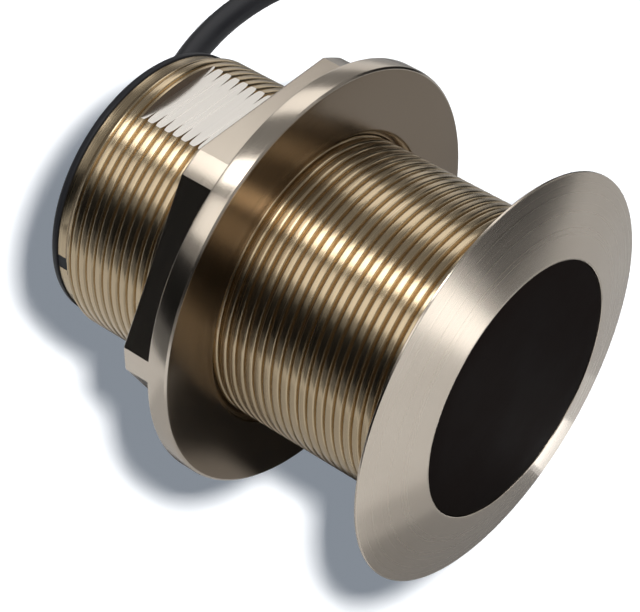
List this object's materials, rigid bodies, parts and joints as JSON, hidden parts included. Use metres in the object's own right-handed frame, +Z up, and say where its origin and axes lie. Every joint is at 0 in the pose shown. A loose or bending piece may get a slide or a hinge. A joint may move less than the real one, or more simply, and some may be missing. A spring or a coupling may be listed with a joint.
{
  "type": "sonar transducer",
  "caption": "Through-hull sonar transducer: flanged bronze stem with a flat black sounding face, a hexagon hull nut with a flange, and a coiled cable with a round plug.",
  "frame": {"origin": "centre of the flat sounding face, on the stem's axis", "axes": "+Z up along the stem towards the cable; the wrench flats face +X and -X; the cable leaves towards +Y"},
  "size_m": [0.1336, 0.2034, 0.1017],
  "materials": {
    "bronze": "satin",
    "window": "satin",
    "ceramic": "matt",
    "cork": "matt",
    "red_wire": "gloss",
    "grey_wire": "gloss",
    "board": "satin",
    "tin": "satin",
    "ferrite": "matt",
    "bobbin": "matt",
    "copper": "gloss",
    "cable_jacket": "satin",
    "brass": "satin",
    "resin": "gloss",
    "cap": "satin",
    "boot": "matt",
    "tie": "matt",
    "plug": "satin",
    "shell": "satin",
    "insert": "matt",
    "seal": "satin"
  },
  "bodies": {
    "transducer": {"housing": "bronze", "acoustic_window": "window", "end_cap": "cap", "strain_relief": "boot", "ceramic_disc": "ceramic", "cork_sleeve": "cork", "cork_backing": "cork", "hot_lead": "red_wire", "ground_lead": "grey_wire", "terminal_board": "board", "solder_posts": "tin", "core_lower": "ferrite", "core_upper": "ferrite", "bobbin": "bobbin", "winding": "copper", "conductors": "red_wire", "cable_tail": "cable_jacket", "crimp_ferrule": "brass", "potting_fill": "resin", "cable": "cable_jacket", "cable_coil": "cable_jacket", "coil_ties": "tie", "plug_lead": "cable_jacket", "plug_body": "plug", "plug_shell": "shell", "plug_insert": "insert", "plug_pins": "brass", "plug_seal": "seal"},
    "nut": {"hull_nut": "bronze"}
  },
  "joints": [
    {"name": "nut_travel", "type": "slide", "parent": "transducer", "child": "nut", "axis": [0, 0, 1], "range_m": [-0.0364, 0.0235]}
  ]
}
